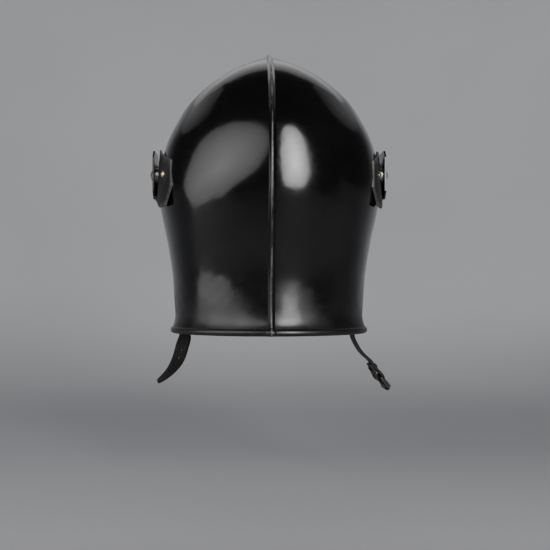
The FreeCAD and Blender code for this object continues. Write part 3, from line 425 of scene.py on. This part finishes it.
def shell(side):
    s = 1.0 if side == "left" else -1.0
    tt = np.stack([columns(v) for v in VV], 1)
    vv = np.broadcast_to(VV[None, :], tt.shape).copy()
    p = base(vv, tt)
    n = surf_normal(vv, tt)
    fade = np.clip(p[..., 2] / 20.0, 0, 1)[..., None] if False else 1.0
    out = p + n * (keel(p[..., 0]) + ripple(p * np.array([s, 1, 1])) * np.clip(np.abs(p[..., 0]) / 12.0, 0.0, 1.0))[..., None] * fade
    inn = p + n * (keel(p[..., 0], 0.7, 1.2) - 1.6)[..., None]
    for g in (out, inn):
        g[0, :, 0] = 0.0
        g[-1, :, 0] = 0.0
    nu, nv = tt.shape
    top_o = np.array([[0, 12.0, 269.4 + float(keel(np.array(0.0)))]])
    top_i = np.array([[0, 12.0, 269.4 + float(keel(np.array(0.0), 0.7, 1.2)) - 1.6]])
    V = np.vstack([out.reshape(-1, 3), inn.reshape(-1, 3), top_o, top_i])
    V[:, 0] *= s
    V *= MM
    off = nu * nv
    po, pi_ = 2 * off, 2 * off + 1
    F = col_faces(nu, nv, False)
    F += [tuple(off + k for k in reversed(f)) for f in col_faces(nu, nv, False)]
    for i in range(nu - 1):                                  # the crown fans and the lower edge
        F.append((i * nv + nv - 1, (i + 1) * nv + nv - 1, po))
        F.append((off + (i + 1) * nv + nv - 1, off + i * nv + nv - 1, pi_))
        F.append(((i + 1) * nv, i * nv, off + i * nv, off + (i + 1) * nv))
    for i in (0, nu - 1):                                    # the two edges on the medial plane
        for j in range(nv - 1):
            q = (i * nv + j, i * nv + j + 1, off + i * nv + j + 1, off + i * nv + j)
            F.append(q if i == 0 else tuple(reversed(q)))
        q = (i * nv + nv - 1, po, pi_, off + i * nv + nv - 1)
        F.append(q if i == 0 else tuple(reversed(q)))
    if s > 0:
        F = [tuple(reversed(f)) for f in F]
    o = make_mesh("skull_" + side + "_shell", V, F, M_BLACK, None, 60.0)
    return o


# the face opening, cut from each shell
def arch(grow):
    pts = [(60.0 + grow, -12.0), (62.6 + grow, 20.0), (65.7 + grow, 60.0)]
    for k in range(15):
        a = math.pi / 2 * k / 14
        pts.append(((67.0 + grow) * math.cos(a) ** 0.86, 96.0 + (67.0 + grow) * math.sin(a) ** 0.9))
    pts[-1] = (0.0, pts[-1][1])
    full = [(-x, z) for x, z in pts[:-1]] + [(x, z) for x, z in reversed(pts)]
    t = [0.0]
    for a, b in zip(full, full[1:]):
        t.append(t[-1] + math.hypot(b[0] - a[0], b[1] - a[1]))
    fx, fz = natural(t, [q[0] for q in full]), natural(t, [q[1] for q in full])
    ts = np.linspace(0, t[-1], 160)
    return list(zip(fx(ts), fz(ts)))


def cutter():
    line = arch(0.0)
    n = len(line)
    V = [(x * MM, y, z * MM) for y in (-0.22, -0.014) for x, z in line]
    F = [(i, (i + 1) % n, n + (i + 1) % n, n + i) for i in range(n)]
    F += [tuple(range(n - 1, -1, -1)), tuple(range(n, 2 * n))]
    me = bpy.data.meshes.new("cutter")
    me.from_pydata(V, [], F)
    me.validate()
    o = bpy.data.objects.new("cutter", me)
    bpy.context.scene.collection.objects.link(o)
    return o


import bmesh
cut = cutter()
bm = bmesh.new()
bm.from_mesh(cut.data)
bmesh.ops.recalc_face_normals(bm, faces=bm.faces)
bm.to_mesh(cut.data)
bm.free()
for side in ("left", "right"):
    o = shell(side)
    bm = bmesh.new()
    bm.from_mesh(o.data)
    bmesh.ops.recalc_face_normals(bm, faces=bm.faces)
    bm.to_mesh(o.data)
    bm.free()
    m = o.modifiers.new("cut", "BOOLEAN")
    m.operation = "DIFFERENCE"
    m.solver = "EXACT"
    m.object = cut
    dg = bpy.context.evaluated_depsgraph_get()
    me = bpy.data.meshes.new_from_object(o.evaluated_get(dg))
    o.modifiers.clear()
    old = o.data
    o.data = me
    bpy.data.meshes.remove(old)
    me.polygons.foreach_set("use_smooth", [True] * len(me.polygons))
    me.set_sharp_from_angle(angle=math.radians(30.0))
    print("shell", side, len(me.vertices), len(me.polygons))
    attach(o, "skull")
    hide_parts("skull_" + side)
bpy.data.objects.remove(cut)

# ------------------------------------------------------------------ the rolled rim
t_end = math.pi - math.asin(61.4 / 94.6)
tr = np.concatenate([[0, .006, .012, .018, .026, .034, .042, .052, .062, .075], np.linspace(0.09, t_end, 150)])
pr = base(np.zeros_like(tr), tr)
nr = surf_normal(np.zeros_like(tr), tr)
nr[:, 2] = 0
nr /= np.linalg.norm(nr, axis=1, keepdims=True)
cen = pr + nr * (keel(pr[:, 0], 0.6) - 1.35)[:, None]
cen[0, 0] = 0
cen[:, 2] = 3.3
full = np.vstack([cen[::-1], (cen * np.array([-1, 1, 1]))[1:]])
tan = np.gradient(full, axis=0)
tan /= np.linalg.norm(tan, axis=1, keepdims=True)
side_v = np.cross(tan, np.array([0, 0, 1.0]))
side_v /= np.linalg.norm(side_v, axis=1, keepdims=True)
K = 28
ang = np.linspace(0, 2 * math.pi, K, endpoint=False)
wob = 1.0 + 0.006 * np.sin(np.arange(len(full)) * 0.37) + 0.005 * np.sin(np.arange(len(full)) * 0.151 + 1.0)
ring = (full[:, None, :] + 3.17 * wob[:, None, None] * (np.cos(ang)[None, :, None] * side_v[:, None, :] + np.sin(ang)[None, :, None] * np.array([0, 0, 1.0])))
bore = (full[:, None, :] + 1.62 * (np.cos(ang)[None, :, None] * side_v[:, None, :] + np.sin(ang)[None, :, None] * np.array([0, 0, 1.0])))
nU = len(full)
V = np.vstack([ring.reshape(-1, 3), bore.reshape(-1, 3)]) * MM
F = []
for i in range(nU - 1):
    for j in range(K):
        a, b, c, d = i * K + j, (i + 1) * K + j, (i + 1) * K + (j + 1) % K, i * K + (j + 1) % K
        F.append((a, b, c, d))
        F.append(tuple(nU * K + q for q in (d, c, b, a)))
for i in (0, nU - 1):
    for j in range(K):
        q = (i * K + j, i * K + (j + 1) % K, nU * K + i * K + (j + 1) % K, nU * K + i * K + j)
        F.append(q)
rim = make_mesh("neck_roll_bead", V, F, M_BLACK, "skull", 40.0)
bm = bmesh.new()
bm.from_mesh(rim.data)
bmesh.ops.recalc_face_normals(bm, faces=bm.faces)
bm.to_mesh(rim.data)
bm.free()
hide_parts("neck_roll")

# ------------------------------------------------------------------ crown pad: a quilted felt cushion
lo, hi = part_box("crown_pad")
cx, cy = (lo.x + hi.x) / 2, (lo.y + hi.y) / 2
R0, H0 = (hi.x - lo.x) / 2 * 0.985, (hi.z - lo.z) * 0.96
NA, NR = 96, 26
verts, faces = [], []
verts.append((cx, cy, lo.z + H0 * 0.86))
for i in range(1, NR + 1):
    f = i / NR
    for j in range(NA):
        a = 2 * math.pi * j / NA
        seam = abs(math.sin(4 * a)) ** 0.55
        prof = (1 - f ** 2.6) ** 0.62
        dip = 1 - 0.22 * (1 - seam) * math.sin(math.pi * min(1.0, f * 1.05)) - 0.10 * math.exp(-(f / 0.13) ** 2)
        rr = R0 * f * (1 - 0.035 * (1 - seam) * f)
        verts.append((cx + rr * math.cos(a), cy + rr * math.sin(a), lo.z + 0.0021 + (H0 - 0.0021) * prof * dip if i < NR else lo.z + 0.0021))
for i in range(1, NR + 1):
    f = 1 - i / (NR + 1)
    for j in range(NA):
        a = 2 * math.pi * j / NA
        seam = abs(math.sin(4 * a)) ** 0.55
        rr = R0 * f * (1 - 0.035 * (1 - seam) * f)
        verts.append((cx + rr * math.cos(a), cy + rr * math.sin(a), lo.z + 0.0021 - 0.0020 * (1 - f ** 3.0) ** 0.5 * (0.75 + 0.25 * seam)))
verts.append((cx, cy, lo.z + 0.0002))
for j in range(NA):
    faces.append((0, 1 + j, 1 + (j + 1) % NA))
for i in range(2 * NR - 1):
    for j in range(NA):
        faces.append((1 + i * NA + j, 1 + (i + 1) * NA + j, 1 + (i + 1) * NA + (j + 1) % NA, 1 + i * NA + (j + 1) % NA))
last = 1 + (2 * NR - 1) * NA
for j in range(NA):
    faces.append((len(verts) - 1, last + (j + 1) % NA, last + j))
pad = make_mesh("crown_pad_cushion", verts, faces, M_FELT, "skull", 80.0)
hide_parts("crown_pad")

# ------------------------------------------------------------------ stage
SET_Z = -0.150
stage_mat, nt, p, co = new_mat("studio_grey")
tone = noise(nt, co, 1.3, 3.0, 0.5)
grey = colours(nt, tone, [(0.3, (0.56, 0.565, 0.585)), (0.7, (0.60, 0.605, 0.625))])
place = nt.nodes.new("ShaderNodeSeparateXYZ")
nt.links.new(co, place.inputs[0])
# painted shade: the floor is darkened to about 0.4 in a band under and around the helmet, towards the camera; it shows
# in the glow colour too
dip = colours(nt, ramp(nt, place.outputs["Y"], -1.6, 0.3, 0.0, 1.0), [(0.0, (1.0, 1.0, 1.0)), (0.62, (0.43, 0.43, 0.44)), (0.76, (0.38, 0.38, 0.39)), (0.97, (0.42, 0.42, 0.42))])
low = ramp(nt, place.outputs["Z"], -0.12, 0.10, 1.0, 0.0)
grey = mix(nt, low, grey, math_colour(nt, grey, dip))
# painted shade: out of frame, behind the camera and far to the sides, the cove is painted near black for the dark room
# seen in the helmet's reflections, and glows little there
far = ramp(nt, place.outputs["Y"], 0.165, 0.60, 0.0, 1.0)
side_x = ramp(nt, math_node(nt, "ABSOLUTE", place.outputs["X"], 0.0), 1.13, 1.75, 0.0, 1.0)
paper = mix(nt, math_node(nt, "MAXIMUM", far, side_x), grey, (0.05, 0.051, 0.054))
nt.links.new(paper, p.inputs["Base Color"])
nt.links.new(paper, p.inputs["Emission Color"])
p.inputs["Emission Strength"].default_value = 0.33
nt.links.new(ramp(nt, tone, 0.3, 0.7, 0.75, 0.85), p.inputs["Roughness"])
R_WALL, R_COVE, H_WALL = 2.1, 1.2, 1.95
prof = [(0.0, SET_Z), (0.4, SET_Z), (0.9, SET_Z)]
for k in range(17):
    a = math.pi / 2 * k / 16
    prof.append((R_WALL - R_COVE + R_COVE * math.sin(a), SET_Z + R_COVE - R_COVE * math.cos(a)))
prof.append((R_WALL, H_WALL))
NB = 96
V, F = [(0, 0, SET_Z)], []
for r, z in prof[1:]:
    for j in range(NB):
        a = 2 * math.pi * j / NB
        V.append((r * math.cos(a), r * math.sin(a), z))
for j in range(NB):
    F.append((0, 1 + j, 1 + (j + 1) % NB))
for i in range(len(prof) - 2):
    for j in range(NB):
        F.append((1 + i * NB + j, 1 + (i + 1) * NB + j, 1 + (i + 1) * NB + (j + 1) % NB, 1 + i * NB + (j + 1) % NB))
cove = make_mesh("studio_cove", V, F, stage_mat, None, 60.0)

world = bpy.data.worlds.new("studio")
bpy.context.scene.world = world
world.use_nodes = True
world.node_tree.nodes["Background"].inputs["Color"].default_value = (0.5, 0.52, 0.56, 1)
world.node_tree.nodes["Background"].inputs["Strength"].default_value = 0.035


ROLL = 30.0


def softbox(name, az, el, dist, w, h, radiance, roll=0.0, shape="ELLIPSE", hot=(0.5, 0.5), edge=0.3):
    """A soft box seen from the back of the skull at azimuth az from +Y towards +X and elevation el."""
    c = Vector((0.0, 0.10, 0.15))
    a, e = math.radians(az), math.radians(el)
    d = Vector((math.sin(a) * math.cos(e), math.cos(a) * math.cos(e), math.sin(e)))
    L = bpy.data.lights.new(name, "AREA")
    L.shape = shape
    L.size, L.size_y = w, h
    L.energy = radiance * math.pi * w * h
    L.use_nodes = True
    lt = L.node_tree
    em = lt.nodes["Emission"]
    geo = lt.nodes.new("ShaderNodeNewGeometry")
    sub = lt.nodes.new("ShaderNodeVectorMath")
    sub.operation = "DISTANCE"
    sub.inputs[1].default_value = (hot[0], hot[1], 0.0)
    lt.links.new(geo.outputs["Parametric"], sub.inputs[0])
    lt.links.new(ramp(lt, sub.outputs["Value"], 0.05, 0.60, 1.0, edge), em.inputs["Strength"])
    o = bpy.data.objects.new(name, L)
    bpy.context.scene.collection.objects.link(o)
    o.location = c + d * dist
    q = d.to_track_quat("Z", "Y")
    o.rotation_mode = "QUATERNION"
    o.rotation_quaternion = q @ Quaternion((0, 0, 1), math.radians(roll))
    o.visible_camera = False
    return o


softbox("key_left", 54, 12, 0.72, 1.52, 0.84, 2.7, ROLL, hot=(0.5, 0.44), edge=0.2)
softbox("front_fill", 180, 44, 1.45, 1.7, 0.7, 0.5, 0.0, edge=0.3)
softbox("front_side_fill", -128, 42, 1.5, 0.9, 0.7, 0.22, 0.0, edge=0.3)
softbox("front_side_fill_2", 128, 42, 1.5, 0.9, 0.7, 0.3, 0.0, edge=0.3)
softbox("key_right", -28.5, 9, 0.92, 0.42, 1.14, 14.0, edge=0.15)
